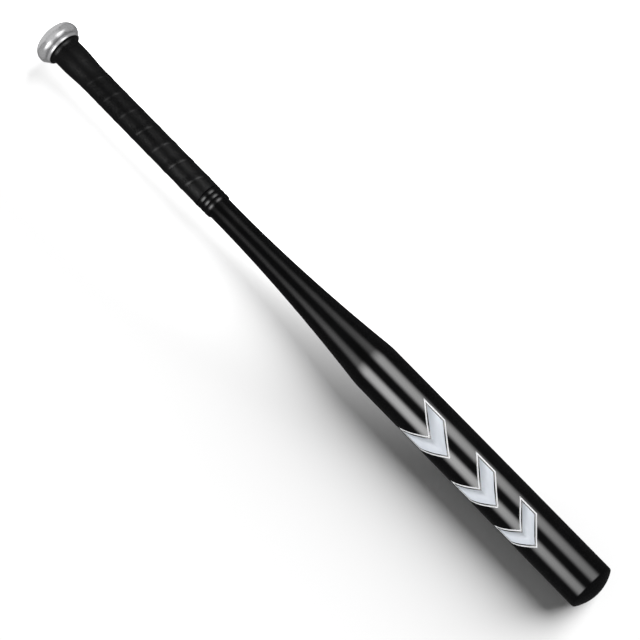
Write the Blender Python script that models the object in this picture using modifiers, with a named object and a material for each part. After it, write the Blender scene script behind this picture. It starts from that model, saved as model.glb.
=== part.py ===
"""Hollow aluminium baseball bat: a swaged shell, a welded knob, a wound grip and three barrel graphics.

The bat lies along +X. X = 0 is the flat end face of the knob, the barrel points to +X, and the
bat's axis is the X axis. Every turned piece is drawn as an outline of (distance, radius) pairs, where
distance is measured along the axis from the knob's face. An outline runs along its outer side from the
barrel end to the knob end, and then back along its inner side.
"""

import math

import bmesh
import bpy

MM = 0.001

# The whole bat
BAT_LENGTH = 864 * MM  # 34 inches
SEGMENTS = 48  # sides of every turned piece
GAP = 0.3 * MM  # between pieces that touch

# Shell: handle, taper and barrel, as outer radii
SHELL_START = 30.3 * MM  # where the tube butts against the knob's neck
HANDLE_RADIUS_AT_KNOB = 13.2 * MM
HANDLE_RADIUS = 13.9 * MM  # where the bare handle leaves the grip
HANDLE_STRAIGHT_START = 278 * MM
TAPER_START = 295 * MM
TAPER_END = 524 * MM
TAPER_POWER = 1.84
KNEE_HALF_LENGTH = 7 * MM  # rounding where the taper meets the barrel
BARREL_RADIUS = 27.75 * MM
HANDLE_WALL = 2.6 * MM
BARREL_WALL = 2.0 * MM
TIP_WALL = 2.6 * MM
SHOULDER_RADIUS = 3.4 * MM
DOME_RADIUS = 49 * MM

# Plug in the centre of the closed end
PLUG_HEAD_RADIUS = 6 * MM
PLUG_SHANK_RADIUS = 4 * MM
PLUG_SHANK_LENGTH = 2.5 * MM

# Foam plug behind the closed end
DAMPER_START = 818 * MM
DAMPER_LENGTH = 24 * MM

# Knob
KNOB_RADIUS = 26.65 * MM
KNOB_BACK_RADIUS = 12 * MM  # rounding between the end face and the widest place
KNOB_FRONT_RADIUS = 8 * MM
GROOVE_START = 18.9 * MM
GROOVE_END = 19.8 * MM
GROOVE_RADIUS = 21.7 * MM
RING_BACK_RADIUS = 22.4 * MM
RING_FRONT_RADIUS = 21.6 * MM
RING_EDGE = 0.4 * MM
RING_END = 22.6 * MM  # the shoulder that the wrap butts against
NECK_START_RADIUS = 18.6 * MM
NECK_END = 30 * MM
NECK_END_RADIUS = 14.6 * MM
SPIGOT_END = 48 * MM
SPIGOT_CHAMFER = 0.6 * MM
VENT_RADIUS = 3 * MM
VENT_RECESS_RADIUS = 5.3 * MM
VENT_RECESS_DEPTH = 1.5 * MM

# Plug in the knob's vent hole
VENT_PLUG_LENGTH = 9 * MM

# Weld bead on the tube, beside the knob's neck
BEAD_WIDTH = 2.8 * MM
BEAD_HEIGHT = 1.0 * MM

# Double-sided tape under the wrap
BACKING_START = 34 * MM
BACKING_END = 255 * MM
BACKING_THICKNESS = 0.35 * MM

# Wrap
WRAP_START_RADIUS = 20.6 * MM
FLARE_END = 27.5 * MM
DOUBLED_RADIUS = 17.3 * MM  # over the first turn, which lies double
DOUBLED_END = 40 * MM
WRAP_RADIUS = 15.75 * MM
WRAP_STRAIGHT_START = 70 * MM
WRAP_TAPED_START = 258.7 * MM  # from here the finishing tape presses the wrap down
WRAP_TAPED_RADIUS = 14.6 * MM
WRAP_END = 268.3 * MM
WRAP_FLARE_GAP = 0.35 * MM

# Finishing tape
TAPE_START = 259 * MM
TAPE_END = 277.6 * MM
TAPE_TURNS = 3
TAPE_VALLEY_RADIUS = 15.2 * MM
TAPE_CREST_RADIUS = 15.55 * MM

# Printed films on the barrel: start and end of each along the bat
GRAPHICS = {
    "graphic_handle_side": (592 * MM, 659 * MM),
    "graphic_middle": (672 * MM, 732 * MM),
    "graphic_tip_side": (738 * MM, 790 * MM),
}
GRAPHIC_LEFT = math.radians(-75)  # angles round the barrel from straight up, positive towards +Y
GRAPHIC_RIGHT = math.radians(28)
GRAPHIC_STROKE = 0.5  # width of a chevron's arm along the bat, as a share of its length
GRAPHIC_STRIPS = 12  # flat strips that follow the barrel's curve
FILM_THICKNESS = 0.3 * MM

# Colour, metallic value and roughness of each material
MATERIALS = {
    "black_gloss_paint": ((0.008, 0.008, 0.009), 0.0, 0.16),
    "polished_aluminium": ((0.80, 0.80, 0.81), 1.0, 0.18),
    "weld_aluminium": ((0.55, 0.55, 0.56), 1.0, 0.45),
    "black_plastic": ((0.015, 0.015, 0.016), 0.0, 0.45),
    "damping_foam": ((0.16, 0.16, 0.17), 0.0, 0.95),
    "adhesive_tape": ((0.72, 0.70, 0.64), 0.0, 0.60),
    "black_wrap": ((0.018, 0.018, 0.019), 0.0, 0.42),
    "black_vinyl_tape": ((0.012, 0.012, 0.013), 0.0, 0.30),
    "silver_print": ((0.66, 0.70, 0.74), 0.0, 0.35),
}


def remove_start_objects():
    """Empties the scene that Blender opens with."""
    for thing in list(bpy.data.objects):
        bpy.data.objects.remove(thing, do_unlink=True)


def make_material(name):
    """A Principled BSDF material from the table above."""
    material = bpy.data.materials.get(name)
    if material is not None:
        return material
    colour, metallic, roughness = MATERIALS[name]
    material = bpy.data.materials.new(name)
    material.use_nodes = True
    shader = material.node_tree.nodes["Principled BSDF"]
    shader.inputs["Base Color"].default_value = (*colour, 1.0)
    shader.inputs["Metallic"].default_value = metallic
    shader.inputs["Roughness"].default_value = roughness
    return material


def arc(centre_x, centre_r, radius, start, end, steps):
    """Points on an arc. Angles are in radians: 0 points away from the axis, a right angle to the barrel end."""
    angles = [start + (end - start) * i / steps for i in range(steps + 1)]
    return [(centre_x + radius * math.sin(a), centre_r + radius * math.cos(a)) for a in angles]


def hollow_flare(wide_x, wide_r, narrow_x, narrow_r, steps):
    """A concave quarter ellipse, from its narrow end to its wide end near the knob."""
    points = []
    for i in range(steps + 1):
        a = math.radians(90) * (1 - i / steps)
        x = narrow_x - (narrow_x - wide_x) * math.cos(a)
        r = wide_r - (wide_r - narrow_r) * math.sin(a)
        points.append((x, r))
    return points


def turned(name, material, outline, closed=True):
    """A solid turned about the bat's axis: the outline's edges with a Screw modifier."""
    mesh = bpy.data.meshes.new(name)
    vertices = [(radius, 0.0, distance) for distance, radius in outline]
    edges = [(i, i + 1) for i in range(len(outline) - 1)]
    if closed:
        edges.append((len(outline) - 1, 0))
    mesh.from_pydata(vertices, edges, [])
    piece = bpy.data.objects.new(name, mesh)
    piece.rotation_euler = (0.0, math.radians(90), 0.0)  # the turning axis becomes the X axis
    bat.objects.link(piece)
    screw = piece.modifiers.new("turn", "SCREW")
    screw.steps = SEGMENTS
    screw.render_steps = SEGMENTS
    screw.use_merge_vertices = True
    screw.merge_threshold = 0.00001
    screw.use_smooth_shade = True
    piece.data.materials.append(make_material(material))
    return piece


def shell_radius(x):
    """Outer radius of the shell between its knob end and the barrel, without the knee's rounding."""
    if x <= HANDLE_STRAIGHT_START:
        share = (x - SHELL_START) / (HANDLE_STRAIGHT_START - SHELL_START)
        return HANDLE_RADIUS_AT_KNOB + (HANDLE_RADIUS - HANDLE_RADIUS_AT_KNOB) * share
    share = (x - TAPER_START) / (TAPER_END - TAPER_START)
    share = min(max(share, 0.0), 1.0)
    return HANDLE_RADIUS + (BARREL_RADIUS - HANDLE_RADIUS) * share**TAPER_POWER


def shell_wall(x):
    """Wall thickness: swaging leaves the handle thicker than the barrel."""
    share = min(max((x - TAPER_START) / (TAPER_END - TAPER_START), 0.0), 1.0)
    return HANDLE_WALL + (BARREL_WALL - HANDLE_WALL) * share


def knee(steps):
    """The rounded corner between taper and barrel, from the barrel side."""
    barrel_side = TAPER_END + KNEE_HALF_LENGTH
    taper_side = TAPER_END - KNEE_HALF_LENGTH
    points = []
    for i in range(steps + 1):
        t = i / steps
        x = barrel_side * (1 - t) ** 2 + 2 * TAPER_END * t * (1 - t) + taper_side * t**2
        r = BARREL_RADIUS * (1 - t**2) + shell_radius(taper_side) * t**2
        points.append((x, r))
    return points


def tip_side(wall, hole_radius, dome_steps, shoulder_steps):
    """The domed end, offset inwards by wall, from the hole at its centre to the barrel's side."""
    level = BARREL_RADIUS - SHOULDER_RADIUS
    reach = math.sqrt((DOME_RADIUS - SHOULDER_RADIUS) ** 2 - level**2)
    dome_centre = BAT_LENGTH - DOME_RADIUS
    meeting_angle = math.atan2(reach, level)
    dome = DOME_RADIUS - wall
    hole_angle = math.acos(hole_radius / dome)
    points = arc(dome_centre, 0.0, dome, hole_angle, meeting_angle, dome_steps)
    points += arc(dome_centre + reach, level, SHOULDER_RADIUS - wall, meeting_angle, 0.0, shoulder_steps)[1:]
    return points


def make_shell():
    """One tube from the knob to the closed barrel end, open at the handle and at the tip's small hole."""
    outline = tip_side(0.0, PLUG_HEAD_RADIUS, 5, 6)
    outline += knee(4)
    taper_end = TAPER_END - KNEE_HALF_LENGTH
    taper_steps = 11
    for i in range(1, taper_steps + 1):
        x = taper_end + (TAPER_START - taper_end) * i / taper_steps
        outline.append((x, shell_radius(x)))
    outline.append((HANDLE_STRAIGHT_START, HANDLE_RADIUS))
    outline.append((SHELL_START, HANDLE_RADIUS_AT_KNOB))
    inner_stations = [SHELL_START, HANDLE_STRAIGHT_START, TAPER_START]
    inner_steps = 6
    for i in range(1, inner_steps + 1):
        inner_stations.append(TAPER_START + (TAPER_END - TAPER_START) * i / inner_steps)
    outline += [(x, shell_radius(x) - shell_wall(x)) for x in inner_stations]
    inner_tip = tip_side(TIP_WALL, PLUG_SHANK_RADIUS, 3, 3)
    inner_tip.append((inner_tip[-1][0] - 4 * MM, BARREL_RADIUS - BARREL_WALL))
    outline += reversed(inner_tip)
    turned("bat_shell", "black_gloss_paint", outline)


def make_tip_plug():
    """Countersunk button in the centre of the closed end, with its head on the dome's curve."""
    dome_centre = BAT_LENGTH - DOME_RADIUS
    head_radius = PLUG_HEAD_RADIUS - GAP
    shank_radius = PLUG_SHANK_RADIUS - GAP
    head_angle = math.acos(head_radius / DOME_RADIUS)
    inner_face = dome_centre + math.sqrt((DOME_RADIUS - TIP_WALL) ** 2 - PLUG_SHANK_RADIUS**2)
    outline = arc(dome_centre, 0.0, DOME_RADIUS, math.radians(90), head_angle, 3)
    outline.append((inner_face, shank_radius))
    outline.append((inner_face - PLUG_SHANK_LENGTH, shank_radius))
    outline.append((inner_face - PLUG_SHANK_LENGTH, 0.0))
    turned("tip_plug", "black_gloss_paint", outline, closed=False)


def make_damping_plug():
    """Foam disc pushed into the barrel behind the closed end."""
    radius = BARREL_RADIUS - BARREL_WALL - GAP
    end = DAMPER_START + DAMPER_LENGTH
    outline = [(end, 0.0), (end, radius), (DAMPER_START, radius), (DAMPER_START, 0.0)]
    turned("damping_plug", "damping_foam", outline, closed=False)


def make_knob():
    """Rim, groove, shoulder ring, neck and spigot, with the vent bore right through."""
    spigot_radius = HANDLE_RADIUS_AT_KNOB - HANDLE_WALL - GAP
    outline = [(SPIGOT_END, VENT_RADIUS), (SPIGOT_END, spigot_radius - SPIGOT_CHAMFER)]
    outline.append((SPIGOT_END - SPIGOT_CHAMFER, spigot_radius))
    outline.append((NECK_END, spigot_radius))
    outline += hollow_flare(RING_END, NECK_START_RADIUS, NECK_END, NECK_END_RADIUS, 4)
    outline.append((RING_END, RING_FRONT_RADIUS - RING_EDGE))
    outline.append((RING_END - RING_EDGE, RING_FRONT_RADIUS))
    outline.append((GROOVE_END, RING_BACK_RADIUS))
    outline.append(((GROOVE_START + GROOVE_END) / 2, GROOVE_RADIUS))
    front_angle = math.asin((GROOVE_START - KNOB_BACK_RADIUS) / KNOB_FRONT_RADIUS)
    front_centre = KNOB_RADIUS - KNOB_FRONT_RADIUS
    outline += arc(KNOB_BACK_RADIUS, front_centre, KNOB_FRONT_RADIUS, front_angle, 0.0, 4)
    back_centre = KNOB_RADIUS - KNOB_BACK_RADIUS
    outline += arc(KNOB_BACK_RADIUS, back_centre, KNOB_BACK_RADIUS, 0.0, math.radians(-90), 7)[1:]
    outline.append((0.0, VENT_RECESS_RADIUS))
    outline.append((VENT_RECESS_DEPTH, VENT_RECESS_RADIUS))
    outline.append((VENT_RECESS_DEPTH, VENT_RADIUS))
    turned("knob", "polished_aluminium", outline)


def make_vent_plug():
    """Flush plug in the centre of the knob's end face."""
    head_radius = VENT_RECESS_RADIUS - GAP
    shank_radius = VENT_RADIUS - GAP
    head_depth = VENT_RECESS_DEPTH - GAP
    outline = [
        (VENT_PLUG_LENGTH, 0.0),
        (VENT_PLUG_LENGTH, shank_radius),
        (head_depth, shank_radius),
        (head_depth, head_radius),
        (0.0, head_radius),
        (0.0, 0.0),
    ]
    turned("knob_vent_plug", "black_plastic", outline, closed=False)


def make_weld_bead():
    """Ring of weld metal round the tube, beside the knob's neck."""
    inner = shell_radius(SHELL_START + BEAD_WIDTH) + GAP
    end = SHELL_START + BEAD_WIDTH
    outline = [
        (end, inner),
        (end, inner + BEAD_HEIGHT * 0.3),
        (SHELL_START + BEAD_WIDTH * 0.7, inner + BEAD_HEIGHT * 0.8),
        (SHELL_START + BEAD_WIDTH * 0.3, inner + BEAD_HEIGHT),
        (SHELL_START, inner + BEAD_HEIGHT),
        (SHELL_START, inner),
    ]
    turned("knob_weld_bead", "weld_aluminium", outline)


def make_backing_tape():
    """Double-sided tape on the tube, from the weld bead to the end of the wrap."""
    inner = [(x, shell_radius(x) + GAP) for x in (BACKING_START, BACKING_END)]
    outer = [(x, r + BACKING_THICKNESS) for x, r in reversed(inner)]
    turned("grip_backing_tape", "adhesive_tape", outer + inner)


def make_wrap():
    """The wound strip as a plain sleeve: flare at the knob, doubled first turn, straight grip."""
    outline = [
        (WRAP_END, WRAP_TAPED_RADIUS),
        (WRAP_TAPED_START, WRAP_TAPED_RADIUS),
        (WRAP_TAPED_START - GAP, WRAP_RADIUS),
        (WRAP_STRAIGHT_START, WRAP_RADIUS),
        ((DOUBLED_END + WRAP_STRAIGHT_START) / 2, WRAP_RADIUS + 0.6 * MM),
        (DOUBLED_END, DOUBLED_RADIUS - 0.2 * MM),
    ]
    outline += hollow_flare(RING_END + GAP, WRAP_START_RADIUS, FLARE_END, DOUBLED_RADIUS, 4)
    outline += reversed(
        hollow_flare(
            RING_END + GAP,
            NECK_START_RADIUS + WRAP_FLARE_GAP,
            NECK_END + GAP,
            NECK_END_RADIUS + WRAP_FLARE_GAP,
            4,
        )
    )
    over_backing = GAP + BACKING_THICKNESS + GAP
    outline.append((BACKING_START - GAP, NECK_END_RADIUS + WRAP_FLARE_GAP))
    outline.append((BACKING_START, shell_radius(BACKING_START) + over_backing))
    outline.append((BACKING_END + GAP, shell_radius(BACKING_END) + over_backing))
    outline.append((BACKING_END + 2 * GAP, shell_radius(WRAP_END) + GAP))
    outline.append((WRAP_END, shell_radius(WRAP_END) + GAP))
    turned("grip_wrap", "black_wrap", outline)


def make_finishing_tape():
    """Narrow tape wound over the end of the wrap: one rounded rib for each turn."""
    width = (TAPE_END - TAPE_START) / TAPE_TURNS
    outline = []
    for turn in range(TAPE_TURNS):
        start = TAPE_END - turn * width
        outline.append((start, TAPE_VALLEY_RADIUS))
        outline.append((start - 0.2 * width, TAPE_CREST_RADIUS))
        outline.append((start - 0.75 * width, TAPE_CREST_RADIUS))
    outline.append((TAPE_START, TAPE_VALLEY_RADIUS))
    outline.append((TAPE_START, WRAP_TAPED_RADIUS + GAP))
    outline.append((WRAP_END + GAP, WRAP_TAPED_RADIUS + GAP))
    outline.append((WRAP_END + GAP, HANDLE_RADIUS + GAP))
    outline.append((TAPE_END, HANDLE_RADIUS + GAP))
    turned("grip_finishing_tape", "black_vinyl_tape", outline)


def chevron(start, end, half_width):
    """Flat outline of one block as (along, across) points: a chevron that points to the barrel end."""
    arm = (end - start) * GRAPHIC_STROKE
    return [
        (start, -half_width),
        (start + arm, -half_width),
        (end, 0.0),
        (start + arm, half_width),
        (start, half_width),
        (end - arm, 0.0),
    ]


def make_graphic(name, start, end):
    """A printed film: a flat chevron cut into strips, laid round the barrel and thickened."""
    film_radius = BARREL_RADIUS + GAP
    half_width = film_radius * (GRAPHIC_RIGHT - GRAPHIC_LEFT) / 2
    middle = (GRAPHIC_LEFT + GRAPHIC_RIGHT) / 2
    bm = bmesh.new()
    corners = [bm.verts.new((x, y, 0.0)) for x, y in chevron(start, end, half_width)]
    bm.faces.new(corners)
    for i in range(1, GRAPHIC_STRIPS):
        cut = -half_width + 2 * half_width * i / GRAPHIC_STRIPS
        everything = bm.verts[:] + bm.edges[:] + bm.faces[:]
        bmesh.ops.bisect_plane(bm, geom=everything, dist=1e-7, plane_co=(0, cut, 0), plane_no=(0, 1, 0))
    bmesh.ops.triangulate(bm, faces=bm.faces[:])
    for vertex in bm.verts:
        angle = middle + vertex.co.y / film_radius
        vertex.co.y = film_radius * math.sin(angle)
        vertex.co.z = film_radius * math.cos(angle)
    mesh = bpy.data.meshes.new(name)
    bm.to_mesh(mesh)
    bm.free()
    piece = bpy.data.objects.new(name, mesh)
    bat.objects.link(piece)
    thicken = piece.modifiers.new("film thickness", "SOLIDIFY")
    thicken.thickness = FILM_THICKNESS
    thicken.offset = 1.0
    piece.data.materials.append(make_material("silver_print"))


remove_start_objects()
bat = bpy.data.collections.new("baseball_bat")
bpy.context.scene.collection.children.link(bat)
make_shell()
make_tip_plug()
make_damping_plug()
make_knob()
make_vent_plug()
make_weld_bead()
make_backing_tape()
make_wrap()
make_finishing_tape()
for graphic_name, (graphic_start, graphic_end) in GRAPHICS.items():
    make_graphic(graphic_name, graphic_start, graphic_end)
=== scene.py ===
import math

import bmesh
import bpy
from mathutils import Matrix, Vector


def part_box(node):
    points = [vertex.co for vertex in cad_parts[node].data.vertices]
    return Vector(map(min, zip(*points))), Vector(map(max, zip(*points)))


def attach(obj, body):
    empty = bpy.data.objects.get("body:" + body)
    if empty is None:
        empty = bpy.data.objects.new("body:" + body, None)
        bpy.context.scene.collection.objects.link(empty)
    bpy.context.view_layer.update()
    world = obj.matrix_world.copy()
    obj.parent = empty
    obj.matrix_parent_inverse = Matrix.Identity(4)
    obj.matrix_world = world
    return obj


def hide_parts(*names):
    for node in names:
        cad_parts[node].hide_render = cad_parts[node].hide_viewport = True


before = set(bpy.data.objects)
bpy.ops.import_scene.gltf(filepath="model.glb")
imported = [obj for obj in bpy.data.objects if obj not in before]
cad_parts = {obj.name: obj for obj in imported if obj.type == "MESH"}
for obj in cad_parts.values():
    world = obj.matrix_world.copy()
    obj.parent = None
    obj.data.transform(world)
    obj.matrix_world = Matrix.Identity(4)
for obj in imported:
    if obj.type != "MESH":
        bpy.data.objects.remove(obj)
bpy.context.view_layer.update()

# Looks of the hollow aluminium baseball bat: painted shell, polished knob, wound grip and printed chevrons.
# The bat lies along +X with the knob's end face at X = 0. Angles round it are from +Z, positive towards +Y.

MM = 0.001
BODY = "root"
SHARP_ANGLE = math.radians(35)
ON_AXIS = 0.001 * MM  # a smaller radius than this is a point on the axis

# Sizes that the CAD frame gives
BAT_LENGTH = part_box("tip_plug")[1].x
SHELL_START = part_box("bat_shell")[0].x
BARREL_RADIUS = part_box("bat_shell")[1].z
FLOOR_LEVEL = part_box("bat_shell")[0].z
KNOB_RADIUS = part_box("knob")[1].z
SPIGOT_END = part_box("knob")[1].x
WRAP_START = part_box("grip_wrap")[0].x
WRAP_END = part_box("grip_wrap")[1].x
WRAP_START_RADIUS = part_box("grip_wrap")[1].z
TAPE_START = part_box("grip_finishing_tape")[0].x
TAPE_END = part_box("grip_finishing_tape")[1].x
TAPE_CREST_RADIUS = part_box("grip_finishing_tape")[1].z
BACKING_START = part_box("grip_backing_tape")[0].x
BACKING_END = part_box("grip_backing_tape")[1].x
BACKING_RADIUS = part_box("grip_backing_tape")[1].z
VENT_PLUG_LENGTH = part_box("knob_vent_plug")[1].x
VENT_PLUG_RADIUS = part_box("knob_vent_plug")[1].z

# Shell, as in the CAD source
GAP = 0.3 * MM
HANDLE_RADIUS_AT_KNOB = 13.2 * MM
HANDLE_RADIUS = 13.9 * MM
HANDLE_STRAIGHT_START = 278 * MM
TAPER_START = 295 * MM
TAPER_END = 524 * MM
TAPER_POWER = 1.84
KNEE_HALF_LENGTH = 7 * MM
HANDLE_WALL = 2.6 * MM
BARREL_WALL = 2.0 * MM
TIP_WALL = 2.6 * MM
SHOULDER_RADIUS = 3.4 * MM
DOME_RADIUS = 49 * MM
TIP_WALL_LENGTH = 4 * MM  # over which the wall thins from the tip's to the barrel's
PLUG_HEAD_RADIUS = 6 * MM
PLUG_SHANK_RADIUS = 4 * MM
PLUG_SHANK_LENGTH = 2.5 * MM
TIP_SEAM = 0.08 * MM  # hairline between the shell and the dressed plug in its tip

# Knob, as in the CAD source
KNOB_BACK_RADIUS = 12 * MM
KNOB_FRONT_RADIUS = 8 * MM
GROOVE_START = 18.9 * MM
GROOVE_END = 19.8 * MM
GROOVE_RADIUS = 21.7 * MM
GROOVE_HALF_FLOOR = 0.12 * MM
RING_BACK_RADIUS = 22.4 * MM
RING_FRONT_RADIUS = 21.6 * MM
RING_EDGE = 0.4 * MM
RING_BULGE = 0.25 * MM
RING_END = WRAP_START - GAP
NECK_START_RADIUS = 18.6 * MM
NECK_END = 30 * MM
NECK_END_RADIUS = 14.6 * MM
SPIGOT_CHAMFER = 0.6 * MM
VENT_RADIUS = 3 * MM
VENT_RECESS_RADIUS = VENT_PLUG_RADIUS + GAP
VENT_RECESS_DEPTH = 1.5 * MM
VENT_PLUG_EDGE = 0.3 * MM

# Wrap: a strip wound left-handed from the knob, doubled on its first turn
WRAP_RADIUS = 15.5 * MM  # between the ribs
WRAP_INNER_RADIUS = 14.2 * MM
WRAP_TAPED_RADIUS = 14.6 * MM
BACKING_GAP = 0.1 * MM
WRAP_PITCH = 26.9 * MM
WRAP_SEAM = 212.2 * MM  # where one seam crosses the top of the grip
FLARE_END = 27.5 * MM
DOUBLED_HEIGHT = 1.65 * MM
DOUBLED_END = 38 * MM
DOUBLED_FADE = 34 * MM
RIB_HEIGHT_AT_KNOB = 0.14 * MM
RIB_HEIGHT_AT_TAPE = 0.40 * MM
RIB_RISE = 8.0 * MM
RIB_FLAT = 0.2 * MM
RIB_FALL = 2.2 * MM
WRAP_SIDES = 160
WRAP_ROW_STEP = 0.45 * MM

# Finishing tape
TAPE_TURNS = 3
TAPE_VALLEY_RADIUS = 15.15 * MM
TAPE_TWIST = 0.35  # how much of a turn's width the ribs move along in one turn
TAPE_CREST = (0.22, 0.45)  # where the crest starts and ends, as shares of a turn's width
TAPE_EDGE = 0.25 * MM
TAPE_SIDES = 192
TAPE_ROWS = 60

# Print: distances in from a block's outer edge
BORDER_WIDTH = 1.5 * MM
KEYLINE_WIDTH = 1.3 * MM
GRAPHIC_STROKE = 0.5  # width of a chevron's arm, as a share of its length
GRAPHIC_LEFT = math.radians(-75)
GRAPHIC_RIGHT = math.radians(28)
FILM_LIFT = 0.03 * MM
FILM_THICKNESS = 0.05 * MM
FILM_STEP = 0.8 * MM  # width of the flat strips that a print is laid round the barrel in

# Camera, from the middle of the bat
CAMERA_TILT = math.radians(15)  # towards the barrel end
CAMERA_ROLL = math.radians(45.64)
CAMERA_DISTANCE = 3.456
CAMERA_LENS = 182.0
CAMERA_RIGHT = 4.9 * MM
CAMERA_DOWN = 15.3 * MM

# Floor, world and the broad lights
FLOOR_HALF_WIDTH = 30.0
WORLD_DIFFUSE = 0.15
WORLD_GLOSSY = 0.04
SUN_STRENGTH = 6.0
SUN_SPREAD = 50
SUN_DIRECTION = (0.3, 1.0, 0.68)
WASH_POWER = 700.0  # a spot that washes the shadow off the floor beside the handle
WASH_HEIGHT = 3.0
WASH_CENTRE = (0.13, 0.93)
WASH_RADIUS = 1.1
WASH_BLEND = 0.4
FILL_STRENGTH = 2.3
FILL_SPREAD = 60
FILL_ANGLE = math.radians(60)  # of the two fill lights, either side of straight up

# Softboxes: where they start and end along the bat, and how each edge fades: dark at, bright at, least level
BOX_DISTANCE = 1.0
BOX_START = -0.1
BOX_END = 2.4
BOX_WIDTH = 1.4
BOX_LEFT = (math.radians(-44), -1, 9.5)  # angle, way outwards, brightness
BOX_RIGHT = (math.radians(40), 1, 7.2)
BOX_KNOB_SHARE = 0.25  # brightness of the same two lights on the knob's metal
BOX_KNOB_FADE = (-0.06, 0.32, 0.0)
BOX_MIDDLE_FADE = (0.74, 0.40, 0.48)
BOX_TIP_FADE = (2.35, 0.9, 0.0)
BOX_INNER_FADE = (-0.56, -0.13, 0.0)
BOX_OUTER_FADE = (0.62, 0.05, 0.0)

# Panels round the knob: their distance and brightness
PANEL_DISTANCE = 0.8
PANEL_SIZE = 1.5
PANELS = {
    "panel_top": ((0.0, 0.0, 1.0), 0.60),
    "panel_left": ((0.0, -1.0, 0.0), 0.36),
    "panel_right": ((0.0, 1.0, 0.0), 0.36),
    "panel_back": ((-1.0, 0.0, 0.0), 0.62),
    "panel_front": ((1.0, 0.0, 0.0), 0.20),
    "panel_below": ((0.0, 0.0, -1.0), 0.22),
}


def smooth_step(value, start, end):
    """0 before start, 1 after end, and an S curve between them."""
    share = min(max((value - start) / (end - start), 0.0), 1.0)
    return share * share * (3 - 2 * share)


# ---------------------------------------------------------------- outlines


def arc(centre_x, centre_r, radius, start, end, steps):
    """Points on an arc: angle 0 points away from the axis, a right angle to the barrel end."""
    angles = [start + (end - start) * i / steps for i in range(steps + 1)]
    return [(centre_x + radius * math.sin(a), centre_r + radius * math.cos(a)) for a in angles]


def hollow_flare(wide_x, wide_r, narrow_x, narrow_r, steps):
    """A concave quarter ellipse, from its narrow end to its wide end near the knob."""
    points = []
    for i in range(steps + 1):
        a = math.radians(90) * (1 - i / steps)
        x = narrow_x - (narrow_x - wide_x) * math.cos(a)
        r = wide_r - (wide_r - narrow_r) * math.sin(a)
        points.append((x, r))
    return points


def shell_radius(x):
    """Outer radius of the shell between its knob end and the barrel."""
    if x <= HANDLE_STRAIGHT_START:
        share = (x - SHELL_START) / (HANDLE_STRAIGHT_START - SHELL_START)
        return HANDLE_RADIUS_AT_KNOB + (HANDLE_RADIUS - HANDLE_RADIUS_AT_KNOB) * share
    share = min(max((x - TAPER_START) / (TAPER_END - TAPER_START), 0.0), 1.0)
    return HANDLE_RADIUS + (BARREL_RADIUS - HANDLE_RADIUS) * share**TAPER_POWER


def shell_wall(x):
    """Wall thickness at x."""
    share = min(max((x - TAPER_START) / (TAPER_END - TAPER_START), 0.0), 1.0)
    return HANDLE_WALL + (BARREL_WALL - HANDLE_WALL) * share


def knee(steps):
    """The rounded corner between taper and barrel, from the barrel side."""
    barrel_side = TAPER_END + KNEE_HALF_LENGTH
    taper_side = TAPER_END - KNEE_HALF_LENGTH
    points = []
    for i in range(steps + 1):
        t = i / steps
        x = barrel_side * (1 - t) ** 2 + 2 * TAPER_END * t * (1 - t) + taper_side * t**2
        r = BARREL_RADIUS * (1 - t**2) + shell_radius(taper_side) * t**2
        points.append((x, r))
    return points


def tip_side(wall, hole_radius, dome_steps, shoulder_steps):
    """The domed end, offset inwards by wall, from the hole at its centre to the barrel's side."""
    level = BARREL_RADIUS - SHOULDER_RADIUS
    reach = math.sqrt((DOME_RADIUS - SHOULDER_RADIUS) ** 2 - level**2)
    dome_centre = BAT_LENGTH - DOME_RADIUS
    meeting_angle = math.atan2(reach, level)
    dome = DOME_RADIUS - wall
    hole_angle = math.acos(hole_radius / dome)
    points = arc(dome_centre, 0.0, dome, hole_angle, meeting_angle, dome_steps)
    points += arc(dome_centre + reach, level, SHOULDER_RADIUS - wall, meeting_angle, 0.0, shoulder_steps)[1:]
    return points


def shell_outline():
    """Outer side from the tip to the knob end, then the inner side back."""
    outline = tip_side(0.0, PLUG_HEAD_RADIUS - GAP + TIP_SEAM, 20, 16)
    barrel_end = outline[-1][0]
    knee_points = knee(16)
    barrel_steps = 12
    for i in range(1, barrel_steps):
        x = barrel_end + (knee_points[0][0] - barrel_end) * i / barrel_steps
        outline.append((x, BARREL_RADIUS))
    outline += knee_points
    taper_end = TAPER_END - KNEE_HALF_LENGTH
    taper_steps = 56
    for i in range(1, taper_steps + 1):
        x = taper_end + (TAPER_START - taper_end) * i / taper_steps
        outline.append((x, shell_radius(x)))
    outline.append((HANDLE_STRAIGHT_START, HANDLE_RADIUS))
    outline.append((SHELL_START, HANDLE_RADIUS_AT_KNOB))
    stations = [SHELL_START, HANDLE_STRAIGHT_START, TAPER_START]
    inner_steps = 8
    for i in range(1, inner_steps + 1):
        stations.append(TAPER_START + (TAPER_END - TAPER_START) * i / inner_steps)
    outline += [(x, shell_radius(x) - shell_wall(x)) for x in stations]
    inner_tip = tip_side(TIP_WALL, PLUG_SHANK_RADIUS, 6, 6)
    inner_tip.append((inner_tip[-1][0] - TIP_WALL_LENGTH, BARREL_RADIUS - BARREL_WALL))
    outline += reversed(inner_tip)
    return outline


def tip_plug_outline():
    """Countersunk button in the tip, with its head on the dome's curve."""
    dome_centre = BAT_LENGTH - DOME_RADIUS
    head_angle = math.acos((PLUG_HEAD_RADIUS - GAP) / DOME_RADIUS)
    shank_radius = PLUG_SHANK_RADIUS - GAP
    inner_face = dome_centre + math.sqrt((DOME_RADIUS - TIP_WALL) ** 2 - PLUG_SHANK_RADIUS**2)
    outline = arc(dome_centre, 0.0, DOME_RADIUS, math.radians(90), head_angle, 8)
    outline.append((inner_face, shank_radius))
    outline.append((inner_face - PLUG_SHANK_LENGTH, shank_radius))
    outline.append((inner_face - PLUG_SHANK_LENGTH, 0.0))
    return outline


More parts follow.
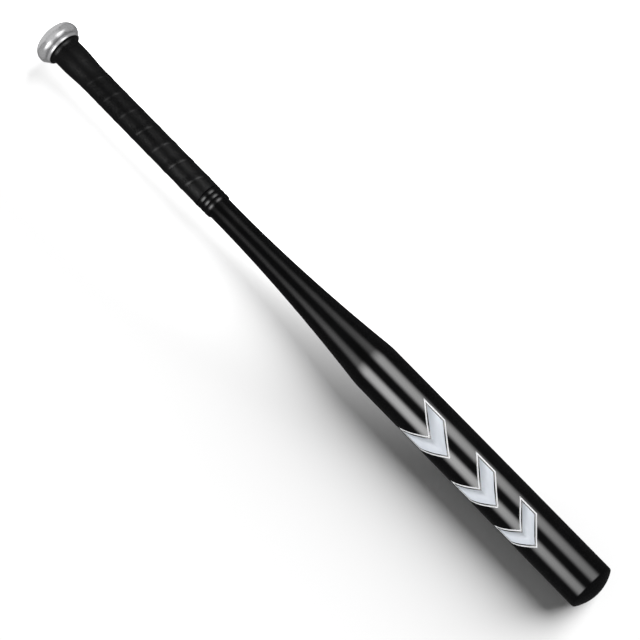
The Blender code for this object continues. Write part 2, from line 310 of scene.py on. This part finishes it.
def knob_outline():
    """Spigot, neck, shoulder ring, groove, rim, end face with the vent's recess, and the bore."""
    spigot_radius = HANDLE_RADIUS_AT_KNOB - HANDLE_WALL - GAP
    outline = [(SPIGOT_END, VENT_RADIUS), (SPIGOT_END, spigot_radius - SPIGOT_CHAMFER)]
    outline.append((SPIGOT_END - SPIGOT_CHAMFER, spigot_radius))
    outline.append((NECK_END, spigot_radius))
    outline += hollow_flare(RING_END, NECK_START_RADIUS, NECK_END, NECK_END_RADIUS, 10)
    outline += arc(RING_END - RING_EDGE, RING_FRONT_RADIUS - RING_EDGE, RING_EDGE, math.radians(90), 0.0, 6)
    ring_length = RING_END - RING_EDGE - GROOVE_END
    for i in range(1, 7):
        share = i / 7
        bulge = RING_BULGE * math.sin(math.pi * share)
        radius = RING_FRONT_RADIUS + (RING_BACK_RADIUS - RING_FRONT_RADIUS) * share + bulge
        outline.append((RING_END - RING_EDGE - ring_length * share, radius))
    outline.append((GROOVE_END, RING_BACK_RADIUS))
    groove_middle = (GROOVE_START + GROOVE_END) / 2
    outline.append((groove_middle + GROOVE_HALF_FLOOR, GROOVE_RADIUS))
    outline.append((groove_middle - GROOVE_HALF_FLOOR, GROOVE_RADIUS))
    front_angle = math.asin((GROOVE_START - KNOB_BACK_RADIUS) / KNOB_FRONT_RADIUS)
    front_centre = KNOB_RADIUS - KNOB_FRONT_RADIUS
    outline += arc(KNOB_BACK_RADIUS, front_centre, KNOB_FRONT_RADIUS, front_angle, 0.0, 14)
    back_centre = KNOB_RADIUS - KNOB_BACK_RADIUS
    outline += arc(KNOB_BACK_RADIUS, back_centre, KNOB_BACK_RADIUS, 0.0, math.radians(-90), 22)[1:]
    outline.append((0.0, (back_centre + VENT_RECESS_RADIUS) / 2))
    outline.append((0.0, VENT_RECESS_RADIUS))
    outline.append((VENT_RECESS_DEPTH, VENT_RECESS_RADIUS))
    outline.append((VENT_RECESS_DEPTH, VENT_RADIUS))
    return outline


def vent_plug_outline():
    """Flush plug in the knob's end face, with a small rounded edge."""
    edge = VENT_PLUG_EDGE
    head_depth = VENT_RECESS_DEPTH - GAP
    shank_radius = VENT_RADIUS - GAP
    outline = [(VENT_PLUG_LENGTH, 0.0), (VENT_PLUG_LENGTH, shank_radius - edge)]
    outline.append((VENT_PLUG_LENGTH - edge, shank_radius))
    outline.append((head_depth, shank_radius))
    outline.append((head_depth, VENT_PLUG_RADIUS))
    outline += arc(edge, VENT_PLUG_RADIUS - edge, edge, 0.0, math.radians(-90), 4)
    outline.append((0.0, 0.0))
    return outline


# ---------------------------------------------------------------- meshes


def finish_piece(name, mesh, material, node):
    """Makes the object, shades it, and ties it to the frame."""
    piece = bpy.data.objects.new(name, mesh)
    bpy.context.scene.collection.objects.link(piece)
    mesh.shade_smooth()
    mesh.set_sharp_from_angle(angle=SHARP_ANGLE)
    mesh.materials.append(material)
    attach(piece, BODY)
    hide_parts(node)
    return piece


def ring_rows(rows, closed):
    """A mesh from rows of points round the axis. Each row is a list of points, or one point on the axis."""
    bm = bmesh.new()
    made = [[bm.verts.new(p) for p in row] for row in rows]
    pairs = list(zip(made, made[1:]))
    if closed:
        pairs.append((made[-1], made[0]))
    for first, second in pairs:
        count = max(len(first), len(second))
        for i in range(count):
            j = (i + 1) % count
            corners = [first[i % len(first)], first[j % len(first)]]
            corners += [second[j % len(second)], second[i % len(second)]]
            bm.faces.new(list(dict.fromkeys(corners)))
    bmesh.ops.recalc_face_normals(bm, faces=bm.faces[:])
    mesh = bpy.data.meshes.new("rows")
    bm.to_mesh(mesh)
    bm.free()
    return mesh


def circle(x, radius, sides):
    """Points round the axis, or one point where the outline meets the axis."""
    if radius < ON_AXIS:
        return [(x, 0.0, 0.0)]
    turns = [2 * math.pi * i / sides for i in range(sides)]
    return [(x, radius * math.sin(t), radius * math.cos(t)) for t in turns]


def turned_piece(name, outline, material, node, sides=256, closed=True):
    """A solid turned about the bat's axis."""
    mesh = ring_rows([circle(x, r, sides) for x, r in outline], closed)
    mesh.name = name
    return finish_piece(name, mesh, material, node)


def shaped_ring(x, radius_at, sides):
    """Points round the axis whose radius follows radius_at(x, angle), angles being -180 to 180 degrees."""
    points = []
    for i in range(sides):
        turn = 2 * math.pi * i / sides
        angle = turn if turn <= math.pi else turn - 2 * math.pi
        radius = radius_at(x, angle)
        points.append((x, radius * math.sin(turn), radius * math.cos(turn)))
    return points


def wrap_rib(x, angle):
    """Height of the rib where one turn of the strip lies over the edge of the turn before it."""
    after = (x - WRAP_SEAM) / WRAP_PITCH - angle / (2 * math.pi)
    after = (after - math.floor(after)) * WRAP_PITCH
    rise = smooth_step(after, WRAP_PITCH - RIB_RISE, WRAP_PITCH)
    fall = 1 - smooth_step(after, RIB_FLAT, RIB_FLAT + RIB_FALL)
    share = (x - DOUBLED_END) / (TAPE_START - DOUBLED_END)
    height = RIB_HEIGHT_AT_KNOB + (RIB_HEIGHT_AT_TAPE - RIB_HEIGHT_AT_KNOB) * max(share, 0.0)
    strength = smooth_step(x, DOUBLED_END, DOUBLED_END + DOUBLED_FADE)
    return height * strength * max(rise, fall)


def wrap_radius(x, angle):
    """Outer radius of the wound strip."""
    doubled = 1 - smooth_step(x, DOUBLED_END, DOUBLED_END + DOUBLED_FADE)
    radius = WRAP_RADIUS + DOUBLED_HEIGHT * doubled + wrap_rib(x, angle)
    if x < FLARE_END:
        share = (FLARE_END - x) / (FLARE_END - WRAP_START)
        climb = 1 - math.sqrt(max(1 - share * share, 0.0))
        radius += (WRAP_START_RADIUS - radius) * climb
    return radius


def make_wrap(material):
    """The wound strip: an outer face that follows its turns, and a plain inner face over the backing tape."""
    taped = TAPE_START - GAP
    count = round((taped - FLARE_END) / WRAP_ROW_STEP)
    stations = [x for x, r in reversed(hollow_flare(WRAP_START, 0.0, FLARE_END, 0.0, 12))]
    stations += [FLARE_END + (taped - FLARE_END) * i / count for i in range(1, count + 1)]
    rows = [shaped_ring(x, wrap_radius, WRAP_SIDES) for x in stations]
    inner_side = [
        (taped, WRAP_TAPED_RADIUS),
        (WRAP_END, WRAP_TAPED_RADIUS),
        (WRAP_END, WRAP_INNER_RADIUS),
        (BACKING_END + 2 * GAP, WRAP_INNER_RADIUS),
        (BACKING_END + GAP, BACKING_RADIUS + BACKING_GAP),
        (BACKING_START, BACKING_RADIUS + BACKING_GAP),
        (BACKING_START - GAP, NECK_END_RADIUS + GAP),
    ]
    inner_side += hollow_flare(WRAP_START, NECK_START_RADIUS + GAP, NECK_END + GAP, NECK_END_RADIUS + GAP, 8)
    rows += [circle(x, r, WRAP_SIDES) for x, r in inner_side]
    mesh = ring_rows(rows, closed=True)
    mesh.name = "grip_strip"
    return finish_piece("grip_strip", mesh, material, "grip_wrap")


def tape_radius(x, angle):
    """Outer radius of the finishing tape: one rounded rib for each turn, flat at both ends."""
    width = (TAPE_END - TAPE_START) / TAPE_TURNS
    phase = (x - TAPE_START) / width - angle / (2 * math.pi) * TAPE_TWIST
    phase -= math.floor(phase)
    rise = smooth_step(phase, 0.0, TAPE_CREST[0])
    fall = 1 - smooth_step(phase, TAPE_CREST[1], 1.0)
    return TAPE_VALLEY_RADIUS + (TAPE_CREST_RADIUS - TAPE_VALLEY_RADIUS) * min(rise, fall)


def make_finishing_tape(material):
    """The narrow tape over the end of the wrap: its ribs, its end face, and its stepped inner face."""
    over_wrap = WRAP_TAPED_RADIUS + GAP
    over_handle = HANDLE_RADIUS + 0.02 * MM
    edge_radius = TAPE_VALLEY_RADIUS - TAPE_EDGE
    rows = [circle(TAPE_START, edge_radius, TAPE_SIDES)]
    for i in range(TAPE_ROWS + 1):
        x = TAPE_START + TAPE_EDGE + (TAPE_END - TAPE_START - 2 * TAPE_EDGE) * i / TAPE_ROWS
        rows.append(shaped_ring(x, tape_radius, TAPE_SIDES))
    rows.append(circle(TAPE_END, edge_radius, TAPE_SIDES))
    rows.append(circle(TAPE_END, over_handle, TAPE_SIDES))
    rows.append(circle(WRAP_END + GAP, over_handle, TAPE_SIDES))
    rows.append(circle(WRAP_END + GAP, over_wrap, TAPE_SIDES))
    mesh = ring_rows(rows, closed=True)
    mesh.name = "finishing_tape"
    return finish_piece("finishing_tape", mesh, material, "grip_finishing_tape")


# ---------------------------------------------------------------- prints


def chevron(start, end, half_width):
    """Flat outline of one block as (along, across) points: a chevron that points to the barrel end."""
    arm = (end - start) * GRAPHIC_STROKE
    return [
        (start, -half_width),
        (start + arm, -half_width),
        (end, 0.0),
        (start + arm, half_width),
        (start, half_width),
        (end - arm, 0.0),
    ]


def inset(outline, distance):
    """The outline moved inwards by distance, with mitred corners."""
    points = [Vector(p) for p in outline]
    moved = []
    for i, point in enumerate(points):
        before = (point - points[i - 1]).normalized()
        after = (points[(i + 1) % len(points)] - point).normalized()
        normal_before = Vector((-before.y, before.x))
        normal_after = Vector((-after.y, after.x))
        middle = (normal_before + normal_after).normalized()
        moved.append(point + middle * (distance / middle.dot(normal_before)))
    return moved


def laid_on_barrel(bm):
    """Cuts a flat print into narrow strips and lays it round the barrel."""
    radius = BARREL_RADIUS + FILM_LIFT
    middle = (GRAPHIC_LEFT + GRAPHIC_RIGHT) / 2
    reach = max(abs(v.co.y) for v in bm.verts)
    count = math.ceil(2 * reach / FILM_STEP)
    for i in range(1, count):
        cut = -reach + 2 * reach * i / count
        everything = bm.verts[:] + bm.edges[:] + bm.faces[:]
        bmesh.ops.bisect_plane(bm, geom=everything, dist=1e-8, plane_co=(0, cut, 0), plane_no=(0, 1, 0))
    bmesh.ops.triangulate(bm, faces=bm.faces[:])
    for vertex in bm.verts:
        angle = middle + vertex.co.y / radius
        vertex.co.y = radius * math.sin(angle)
        vertex.co.z = radius * math.cos(angle)


def make_print(name, node, border_material, fill_material):
    """One block of the print: a white border, a bare keyline and a silver fill, as thin closed films."""
    low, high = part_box(node)
    radius = BARREL_RADIUS + GAP
    half_width = radius * (GRAPHIC_RIGHT - GRAPHIC_LEFT) / 2
    outer = [Vector(p) for p in chevron(low.x, high.x, half_width)]
    border = inset(outer, BORDER_WIDTH)
    fill = inset(outer, BORDER_WIDTH + KEYLINE_WIDTH)
    bm = bmesh.new()
    outer_verts = [bm.verts.new((p.x, p.y, 0.0)) for p in outer]
    border_verts = [bm.verts.new((p.x, p.y, 0.0)) for p in border]
    for i in range(len(outer)):
        j = (i + 1) % len(outer)
        face = bm.faces.new((outer_verts[i], outer_verts[j], border_verts[j], border_verts[i]))
        face.material_index = 0
    face = bm.faces.new([bm.verts.new((p.x, p.y, 0.0)) for p in fill])
    face.material_index = 1
    laid_on_barrel(bm)
    for face in bm.faces:
        face.normal_update()
        centre = face.calc_center_median()
        if face.normal.dot(Vector((0.0, centre.y, centre.z))) < 0:
            face.normal_flip()
    mesh = bpy.data.meshes.new(name)
    bm.to_mesh(mesh)
    bm.free()
    piece = finish_piece(name, mesh, border_material, node)
    mesh.materials.append(fill_material)
    thicken = piece.modifiers.new("film thickness", "SOLIDIFY")
    thicken.thickness = FILM_THICKNESS
    thicken.offset = 1.0
    return piece


# ---------------------------------------------------------------- materials


class Look:
    """A Principled material and the few kinds of node that the looks below are made of."""

    def __init__(self, name, colour, roughness, metallic=0.0):
        self.material = bpy.data.materials.new(name)
        self.material.use_nodes = True
        self.tree = self.material.node_tree
        self.shader = self.tree.nodes["Principled BSDF"]
        self.set("Base Color", (*colour, 1.0))
        self.set("Roughness", roughness)
        self.set("Metallic", metallic)
        self.place = self.tree.nodes.new("ShaderNodeTexCoord").outputs["Object"]

    def set(self, name, value):
        """A value that is the same all over the surface."""
        self.shader.inputs[name].default_value = value

    def drive(self, name, source):
        """A pattern into one of the shader's inputs."""
        self.tree.links.new(source, self.shader.inputs[name])

    def stretched(self, x, y, z):
        """Object coordinates times these scales."""
        node = self.tree.nodes.new("ShaderNodeMapping")
        node.inputs["Scale"].default_value = (x, y, z)
        self.tree.links.new(self.place, node.inputs["Vector"])
        return node.outputs["Vector"]

    def noise(self, scale, detail=2.0, rough=0.5, vector=None):
        """Noise, with scale in cells per metre."""
        node = self.tree.nodes.new("ShaderNodeTexNoise")
        node.inputs["Scale"].default_value = scale
        node.inputs["Detail"].default_value = detail
        node.inputs["Roughness"].default_value = rough
        self.tree.links.new(vector or self.place, node.inputs["Vector"])
        return node.outputs["Fac"]

    def cells(self, scale, feature="DISTANCE_TO_EDGE"):
        """Voronoi cells, with scale in cells per metre."""
        node = self.tree.nodes.new("ShaderNodeTexVoronoi")
        node.feature = feature
        node.inputs["Scale"].default_value = scale
        self.tree.links.new(self.place, node.inputs["Vector"])
        return node.outputs["Distance"]

    def between(self, source, low, high, from_low=0.0, from_high=1.0):
        """Maps a pattern's values to a new range."""
        node = self.tree.nodes.new("ShaderNodeMapRange")
        node.inputs["From Min"].default_value = from_low
        node.inputs["From Max"].default_value = from_high
        node.inputs["To Min"].default_value = low
        node.inputs["To Max"].default_value = high
        self.tree.links.new(source, node.inputs["Value"])
        return node.outputs["Result"]

    def sums(self, operation, first, second):
        """A Math node on two patterns, or on a pattern and a number."""
        node = self.tree.nodes.new("ShaderNodeMath")
        node.operation = operation
        for socket, value in zip(node.inputs, (first, second)):
            if isinstance(value, (int, float)):
                socket.default_value = value
            else:
                self.tree.links.new(value, socket)
        return node.outputs["Value"]

    def colours(self, source, low_colour, high_colour):
        """A colour that goes from one to the other as the pattern goes from 0 to 1."""
        node = self.tree.nodes.new("ShaderNodeMix")
        node.data_type = "RGBA"
        node.inputs["A"].default_value = (*low_colour, 1.0)
        node.inputs["B"].default_value = (*high_colour, 1.0)
        self.tree.links.new(source, node.inputs["Factor"])
        return node.outputs["Result"]

    def bump(self, height, distance, strength=1.0, under=None):
        """Small relief; distance is the height in metres of a pattern value of 1."""
        node = self.tree.nodes.new("ShaderNodeBump")
        node.inputs["Strength"].default_value = strength
        node.inputs["Distance"].default_value = distance
        self.tree.links.new(height, node.inputs["Height"])
        if under is not None:
            self.tree.links.new(under, node.inputs["Normal"])
        return node.outputs["Normal"]

    def along_and_out(self):
        """Distance along the bat and distance from its axis, for patterns that run round it."""
        across = self.tree.nodes.new("ShaderNodeVectorMath")
        across.operation = "MULTIPLY"
        across.inputs[1].default_value = (0.0, 1.0, 1.0)
        self.tree.links.new(self.place, across.inputs[0])
        length = self.tree.nodes.new("ShaderNodeVectorMath")
        length.operation = "LENGTH"
        self.tree.links.new(across.outputs["Vector"], length.inputs[0])
        split = self.tree.nodes.new("ShaderNodeSeparateXYZ")
        self.tree.links.new(self.place, split.inputs["Vector"])
        join = self.tree.nodes.new("ShaderNodeCombineXYZ")
        self.tree.links.new(split.outputs["X"], join.inputs["X"])
        self.tree.links.new(length.outputs["Value"], join.inputs["Y"])
        return join.outputs["Vector"]


def paint_look():
    """Black gloss enamel: slight orange peel, faint smudges and hairline scratches."""
    look = Look("black_gloss_enamel", (0.0025, 0.0025, 0.0028), 0.12)
    smudges = look.noise(28, detail=4, rough=0.6)
    scratches = look.noise(900, detail=2, vector=look.stretched(0.02, 1.0, 1.0))
    lines = look.between(scratches, 0.0, 0.10, 0.66, 0.78)
    cloudy = look.between(smudges, 0.10, 0.15, 0.3, 0.7)
    look.drive("Roughness", look.sums("ADD", cloudy, lines))
    tint = look.between(look.noise(60, detail=3), 0.0, 1.0, 0.35, 0.65)
    look.drive("Base Color", look.colours(tint, (0.002, 0.002, 0.0022), (0.003, 0.003, 0.0033)))
    peel = look.bump(look.noise(350, detail=1), 0.004 * MM)
    look.drive("Normal", look.bump(scratches, 0.002 * MM, 0.4, under=peel))
    look.set("IOR", 1.5)
    return look.material


def polished_look():
    """Polished aluminium with fine turning lines round the axis and a few nicks."""
    look = Look("polished_aluminium", (0.80, 0.80, 0.81), 0.26, metallic=1.0)
    lines = look.noise(9000, detail=3, rough=0.7, vector=look.along_and_out())
    haze = look.noise(70, detail=4, rough=0.6)
    fine = look.between(lines, -0.05, 0.05, 0.3, 0.7)
    broad = look.between(haze, 0.22, 0.32, 0.3, 0.7)
    look.drive("Roughness", look.sums("ADD", fine, broad))
    look.drive("Base Color", look.colours(haze, (0.62, 0.62, 0.63), (0.86, 0.86, 0.87)))
    turned = look.bump(lines, 0.003 * MM)
    nicks = look.between(look.cells(160, "F1"), 1.0, 0.0, 0.0, 0.12)
    look.drive("Normal", look.bump(nicks, 0.02 * MM, 0.5, under=turned))
    return look.material


def wrap_look():
    """Black soft polyurethane with a fine skin grain."""
    look = Look("black_soft_grip", (0.0055, 0.0055, 0.0057), 0.29)
    grain = look.cells(1100)
    creases = look.between(grain, 0.0, 1.0, 0.0, 0.25)
    pores = look.noise(3200, detail=2)
    wear = look.noise(45, detail=4, rough=0.6)
    worn = look.between(wear, 0.25, 0.33, 0.3, 0.7)
    look.drive("Roughness", look.sums("ADD", worn, look.between(pores, -0.03, 0.03)))
    look.drive("Base Color", look.colours(wear, (0.0042, 0.0042, 0.0044), (0.0068, 0.0068, 0.007)))
    skin = look.bump(creases, 0.05 * MM)
    look.drive("Normal", look.bump(pores, 0.01 * MM, 0.6, under=skin))
    look.set("Specular IOR Level", 0.21)
    return look.material


def vinyl_look():
    """Black stretch tape: smoother than the wrap, with faint stretch marks round the handle."""
    look = Look("black_stretch_tape", (0.003, 0.003, 0.0032), 0.28)
    marks = look.noise(1500, detail=2, vector=look.stretched(1.0, 0.08, 0.08))
    haze = look.noise(120, detail=3)
    cloudy = look.between(haze, 0.20, 0.29, 0.3, 0.7)
    look.drive("Roughness", look.sums("ADD", cloudy, look.between(marks, -0.03, 0.03)))
    look.drive("Base Color", look.colours(haze, (0.0022, 0.0022, 0.0024), (0.004, 0.004, 0.0042)))
    look.drive("Normal", look.bump(marks, 0.008 * MM))
    look.set("Specular IOR Level", 0.33)
    return look.material


def silver_print_look():
    """Silver-blue printing ink with fine flakes."""
    look = Look("silver_ink", (0.62, 0.66, 0.72), 0.5)
    flakes = look.cells(2600, "F1")
    clouds = look.noise(90, detail=3)
    look.drive("Base Color", look.colours(clouds, (0.60, 0.64, 0.70), (0.70, 0.74, 0.79)))
    look.drive("Roughness", look.between(flakes, 0.40, 0.60, 0.0, 0.6))
    look.drive("Normal", look.bump(flakes, 0.003 * MM))
    return look.material


def white_print_look():
    """White printing ink."""
    look = Look("white_ink", (0.86, 0.87, 0.88), 0.45)
    clouds = look.noise(150, detail=3)
    look.drive("Base Color", look.colours(clouds, (0.82, 0.83, 0.84), (0.90, 0.91, 0.92)))
    look.drive("Roughness", look.between(clouds, 0.38, 0.52))
    look.drive("Normal", look.bump(look.noise(2000), 0.003 * MM))
    return look.material


def weld_look():
    """Dressed weld metal with file marks."""
    look = Look("dressed_weld", (0.50, 0.50, 0.51), 0.45, metallic=1.0)
    ripples = look.noise(900, detail=3)
    look.drive("Roughness", look.between(ripples, 0.35, 0.6))
    look.drive("Base Color", look.colours(ripples, (0.42, 0.42, 0.43), (0.62, 0.62, 0.63)))
    look.drive("Normal", look.bump(ripples, 0.05 * MM))
    return look.material


def plastic_look():
    """Moulded black plastic."""
    look = Look("moulded_plastic", (0.016, 0.016, 0.017), 0.45)
    texture = look.noise(1800, detail=2)
    look.drive("Roughness", look.between(texture, 0.38, 0.52))
    look.drive("Base Color", look.colours(texture, (0.012, 0.012, 0.013), (0.022, 0.022, 0.023)))
    look.drive("Normal", look.bump(texture, 0.01 * MM))
    return look.material


def foam_look():
    """Open-cell grey foam."""
    look = Look("damping_foam", (0.16, 0.16, 0.17), 0.95)
    pores = look.cells(900, "F1")
    look.drive("Base Color", look.colours(pores, (0.06, 0.06, 0.065), (0.22, 0.22, 0.23)))
    look.drive("Roughness", look.between(pores, 0.85, 1.0))
    look.drive("Normal", look.bump(pores, 0.3 * MM))
    return look.material


def adhesive_look():
    """Cream double-sided tape."""
    look = Look("adhesive_tape", (0.70, 0.68, 0.60), 0.6)
    fibres = look.noise(1400, detail=3, vector=look.stretched(1.0, 0.2, 0.2))
    look.drive("Base Color", look.colours(fibres, (0.62, 0.60, 0.52), (0.76, 0.74, 0.67)))
    look.drive("Roughness", look.between(fibres, 0.5, 0.7))
    look.drive("Normal", look.bump(fibres, 0.02 * MM))
    return look.material


def dress_node(name, material):
    """Gives a CAD node that stays as it is a better material."""
    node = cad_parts[name]
    node.data.materials.clear()
    node.data.materials.append(material)


# ---------------------------------------------------------------- studio


def make_floor():
    """A large pale floor under the bat. It isn't mirrored in the gloss and blocks no light from below."""
    bm = bmesh.new()
    bmesh.ops.create_grid(bm, x_segments=1, y_segments=1, size=FLOOR_HALF_WIDTH)
    mesh = bpy.data.meshes.new("floor")
    bm.to_mesh(mesh)
    bm.free()
    floor = bpy.data.objects.new("floor", mesh)
    floor.location = (BAT_LENGTH / 2, 0.0, FLOOR_LEVEL)
    bpy.context.scene.collection.objects.link(floor)
    look = Look("pale_floor", (0.86, 0.86, 0.86), 0.9)
    look.set("Specular IOR Level", 0.0)
    mesh.materials.append(look.material)
    floor.visible_glossy = False
    floor.visible_shadow = False
    return floor


def make_world():
    """White to the camera, soft and dim to the surfaces, almost dark in reflections."""
    world = bpy.data.worlds.new("studio")
    bpy.context.scene.world = world
    world.use_nodes = True
    tree = world.node_tree
    background = tree.nodes["Background"]
    path = tree.nodes.new("ShaderNodeLightPath")
    level = tree.nodes.new("ShaderNodeMapRange")
    level.inputs["To Min"].default_value = WORLD_DIFFUSE
    level.inputs["To Max"].default_value = 1.0
    tree.links.new(path.outputs["Is Camera Ray"], level.inputs["Value"])
    dim = tree.nodes.new("ShaderNodeMapRange")
    dim.inputs["To Max"].default_value = WORLD_GLOSSY
    tree.links.new(path.outputs["Is Glossy Ray"], dim.inputs["Value"])
    tree.links.new(level.outputs["Result"], dim.inputs["To Min"])
    background.inputs["Color"].default_value = (1.0, 1.0, 1.0, 1.0)
    tree.links.new(dim.outputs["Result"], background.inputs["Strength"])


def group(name, objects):
    """A collection that lights can be limited to."""
    collection = bpy.data.collections.new(name)
    for thing in objects:
        collection.objects.link(thing)
    return collection


def place_light(name, data, location, target, receivers, gloss, diffuse):
    """Puts a light in the scene, facing a point, for these receivers only."""
    light = bpy.data.objects.new(name, data)
    bpy.context.scene.collection.objects.link(light)
    light.location = location
    light.rotation_euler = (Vector(target) - Vector(location)).to_track_quat("-Z", "Y").to_euler()
    light.visible_camera = False
    light.visible_glossy = gloss
    light.visible_diffuse = diffuse
    light.light_linking.receiver_collection = receivers
    return light


def make_panel(name, direction, brightness, receivers):
    """A plain square light panel near the knob, for reflections only. Brightness is its radiance."""
    data = bpy.data.lights.new(name, "AREA")
    data.shape = "SQUARE"
    data.size = PANEL_SIZE
    data.energy = math.pi * PANEL_SIZE**2 * brightness
    location = Vector(direction) * PANEL_DISTANCE
    place_light(name, data, location, (0.0, 0.0, 0.0), receivers, True, False)


def make_sun(name, direction, strength, spread, receivers):
    """Broad even light from a direction, which doesn't show in reflections."""
    data = bpy.data.lights.new(name, "SUN")
    data.energy = strength
    data.angle = math.radians(spread)
    place_light(name, data, direction, (0.0, 0.0, 0.0), receivers, False, True)


def make_wash(floor_group):
    """A wide spot that nothing blocks, which washes the sun's shadow off the floor beside the handle."""
    data = bpy.data.lights.new("wash", "SPOT")
    data.energy = WASH_POWER
    data.spot_size = 2 * math.atan(WASH_RADIUS / WASH_HEIGHT)
    data.spot_blend = WASH_BLEND
    place = Vector((*WASH_CENTRE, FLOOR_LEVEL))
    above = place + Vector((0.0, 0.0, WASH_HEIGHT))
    light = place_light("wash", data, above, place, floor_group, False, True)
    light.light_linking.blocker_collection = floor_group


def fitted(tree, source, from_low, from_high, low, high, kind="LINEAR"):
    """Maps a range of a node's output to another range, and holds it beyond."""
    node = tree.nodes.new("ShaderNodeMapRange")
    node.interpolation_type = kind
    node.inputs["From Min"].default_value = from_low
    node.inputs["From Max"].default_value = from_high
    node.inputs["To Min"].default_value = low
    node.inputs["To Max"].default_value = high
    tree.links.new(source, node.inputs["Value"])
    return node.outputs["Result"]


def times(tree, first, second):
    """The product of two node outputs."""
    node = tree.nodes.new("ShaderNodeMath")
    node.operation = "MULTIPLY"
    tree.links.new(first, node.inputs[0])
    tree.links.new(second, node.inputs[1])
    return node.outputs["Value"]


def dimmed(tree, place, ramps):
    """The product of a soft edge for each of the ramps, along one direction of a softbox."""
    level = None
    for dark, bright, least in ramps:
        edge = fitted(tree, place, dark, bright, least, 1.0, "SMOOTHSTEP")
        level = edge if level is None else times(tree, level, edge)
    return level


def make_softbox(name, angle, outwards, brightness, receivers):
    """A long soft light beside the bat, parallel to it, that fades out towards all its edges."""
    length = BOX_END - BOX_START
    data = bpy.data.lights.new(name, "AREA")
    data.shape = "RECTANGLE"
    data.size = length
    data.size_y = BOX_WIDTH
    data.energy = math.pi * length * BOX_WIDTH * brightness
    data.use_nodes = True
    tree = data.node_tree
    split = tree.nodes.new("ShaderNodeSeparateXYZ")
    tree.links.new(tree.nodes.new("ShaderNodeNewGeometry").outputs["Parametric"], split.inputs["Vector"])
    along = fitted(tree, split.outputs["X"], 0.0, 1.0, BOX_START, BOX_END)
    inner_edge = -BOX_WIDTH / 2 * outwards
    across = fitted(tree, split.outputs["Y"], 0.0, 1.0, inner_edge, inner_edge + BOX_WIDTH * outwards)
    along_level = dimmed(tree, along, (BOX_KNOB_FADE, BOX_MIDDLE_FADE, BOX_TIP_FADE))
    across_level = dimmed(tree, across, (BOX_INNER_FADE, BOX_OUTER_FADE))
    tree.links.new(times(tree, along_level, across_level), tree.nodes["Emission"].inputs["Strength"])
    middle = (BOX_START + BOX_END) / 2
    location = (middle, BOX_DISTANCE * math.sin(angle), BOX_DISTANCE * math.cos(angle))
    light = place_light(name, data, location, (middle, 0.0, 0.0), receivers, True, False)
    light.rotation_euler = (-angle, 0.0, 0.0)


def make_camera():
    """Looks down at the bat, leaning towards its barrel end and rolled, as in the photograph."""
    camera = bpy.data.objects.new("camera", bpy.data.cameras.new("camera"))
    bpy.context.scene.collection.objects.link(camera)
    back = Vector((math.sin(CAMERA_TILT), 0.0, math.cos(CAMERA_TILT)))
    along = Vector((math.cos(CAMERA_TILT), 0.0, -math.sin(CAMERA_TILT)))
    across = Vector((0.0, 1.0, 0.0))
    right = along * math.cos(CAMERA_ROLL) + across * math.sin(CAMERA_ROLL)
    up = across * math.cos(CAMERA_ROLL) - along * math.sin(CAMERA_ROLL)
    target = Vector((BAT_LENGTH / 2, 0.0, 0.0)) + right * CAMERA_RIGHT - up * CAMERA_DOWN
    turn = Matrix((right, up, back)).transposed().to_4x4()
    camera.matrix_world = Matrix.Translation(target + back * CAMERA_DISTANCE) @ turn
    camera.data.lens = CAMERA_LENS
    camera.data.sensor_width = 36.0
    camera.data.clip_end = 200.0
    bpy.context.scene.camera = camera


make_camera()

paint = paint_look()
polished = polished_look()
wrap = wrap_look()
vinyl = vinyl_look()
silver = silver_print_look()
white = white_print_look()
plastic = plastic_look()

tip_outline = tip_plug_outline()
vent_outline = vent_plug_outline()
pieces = [
    turned_piece("painted_shell", shell_outline(), paint, "bat_shell"),
    turned_piece("painted_tip_plug", tip_outline, paint, "tip_plug", 128, False),
    turned_piece("polished_knob", knob_outline(), polished, "knob"),
    turned_piece("moulded_vent_plug", vent_outline, plastic, "knob_vent_plug", 96, False),
    make_wrap(wrap),
    make_finishing_tape(vinyl),
]
for graphic in ("graphic_handle_side", "graphic_middle", "graphic_tip_side"):
    pieces.append(make_print(graphic.replace("graphic", "print"), graphic, white, silver))

carried_over = {
    "knob_weld_bead": weld_look(),
    "grip_backing_tape": adhesive_look(),
    "damping_plug": foam_look(),
}
for name, material in carried_over.items():
    dress_node(name, material)

knob_metal = group("knob_metal", [piece for piece in pieces if piece.name == "polished_knob"])
bat = group("bat", [piece for piece in pieces if piece.name != "polished_knob"])
for name in carried_over:
    bat.objects.link(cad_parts[name])
ground = group("ground", [make_floor()])
make_world()
for name, (angle, outwards, brightness) in (("left", BOX_LEFT), ("right", BOX_RIGHT)):
    make_softbox("softbox_" + name, angle, outwards, brightness, bat)
    make_softbox("knob_softbox_" + name, angle, outwards, brightness * BOX_KNOB_SHARE, knob_metal)
make_sun("sun", SUN_DIRECTION, SUN_STRENGTH, SUN_SPREAD, ground)
make_wash(ground)
for side in (-1, 1):
    direction = (math.sin(CAMERA_TILT), side * math.sin(FILL_ANGLE), math.cos(FILL_ANGLE))
    make_sun("fill", direction, FILL_STRENGTH, FILL_SPREAD, bat)
for name, (direction, brightness) in PANELS.items():
    make_panel(name, direction, brightness, knob_metal)
bpy.context.scene.view_settings.view_transform = "Standard"
